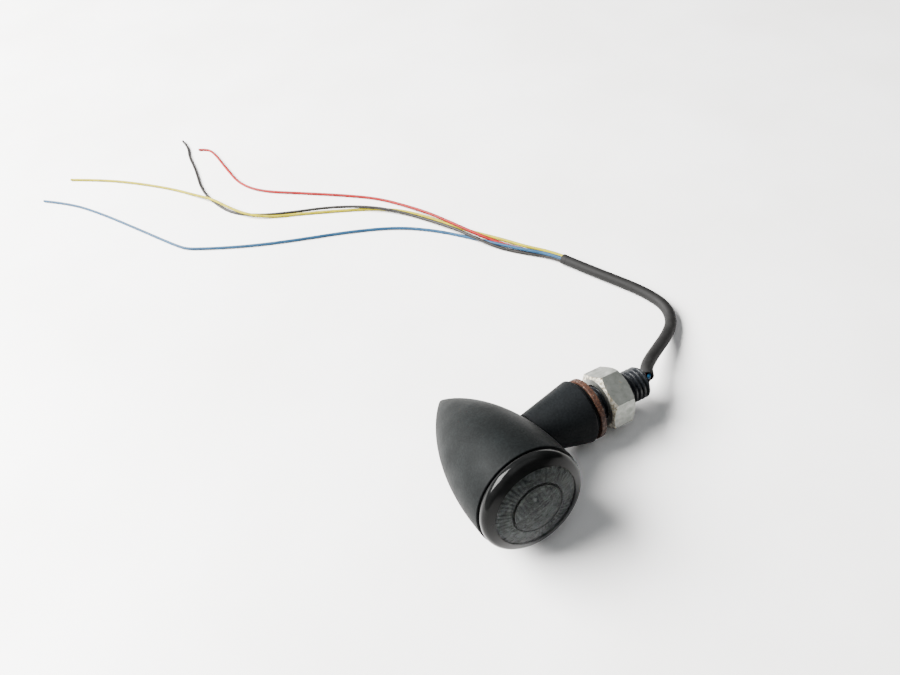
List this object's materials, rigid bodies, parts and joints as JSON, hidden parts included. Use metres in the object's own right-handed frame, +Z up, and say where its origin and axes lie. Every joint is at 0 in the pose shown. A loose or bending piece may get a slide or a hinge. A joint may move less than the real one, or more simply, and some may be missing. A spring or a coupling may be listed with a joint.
{
  "type": "turn signal indicator",
  "caption": "Bullet-shaped motorcycle turn signal with a smoked lens, a conical arm, a hollow threaded stud with washer and nut, and a sleeved cable with bare wire tails.",
  "frame": {"origin": "centre of the base of the rigid lamp's box, on the surface the lamp lies on, the cables left out", "axes": "+Z up from the surface; +X along the stud, away from the lamp (it dips 5.5 degrees); +Y towards the nose of the housing, so the lens looks along -Y and 13 degrees up"},
  "size_m": [0.1789, 0.269, 0.0329],
  "materials": {
    "housing": "satin black, fine grain",
    "arm": "satin black",
    "lens": "glossy dark smoke, ribbed inside",
    "seal": "matt black",
    "reflector": "vacuum plated",
    "circuit_board": "green solder mask",
    "screw_steel": "plain",
    "amber_led": "amber phosphor",
    "white_led": "pale phosphor",
    "component_black": "moulded",
    "stud": "black oxide, slightly glossy",
    "washer_rust": "rusted, granular, worn bright at the rim",
    "nut_zinc": "dull zinc with rust specks",
    "sleeve": "soft dark grey sheath",
    "wire_yellow": "soft insulation",
    "wire_blue": "soft insulation",
    "wire_black": "soft insulation",
    "wire_red": "soft insulation"
  },
  "bodies": {
    "lamp": {"housing": "housing", "lens": "lens", "lens_seal": "seal", "reflector": "reflector", "led_board": "circuit_board", "board_screws": "screw_steel", "amber_leds": "amber_led", "running_leds": "white_led", "resistors": "component_black", "driver_chip": "component_black", "polarity_diode": "component_black", "arm": "arm", "threaded_stud": "stud", "wire_seal": "seal", "lead_yellow": "wire_yellow", "lead_blue": "wire_blue", "lead_black": "wire_black", "lead_red": "wire_red", "cable_sleeve": "sleeve", "wire_yellow": "wire_yellow", "wire_blue": "wire_blue", "wire_black": "wire_black", "wire_red": "wire_red"},
    "washer": {"washer": "washer_rust"},
    "nut": {"hex_nut": "nut_zinc"}
  },
  "joints": [
    {"name": "washer_slide", "type": "slide", "parent": "lamp", "child": "washer", "axis": [0.9954, 0, -0.0958], "range_m": [0, 0.00325]},
    {"name": "nut_travel", "type": "slide", "parent": "washer", "child": "nut", "axis": [0.9954, 0, -0.0958], "range_m": [-0.00325, 0.004]}
  ]
}
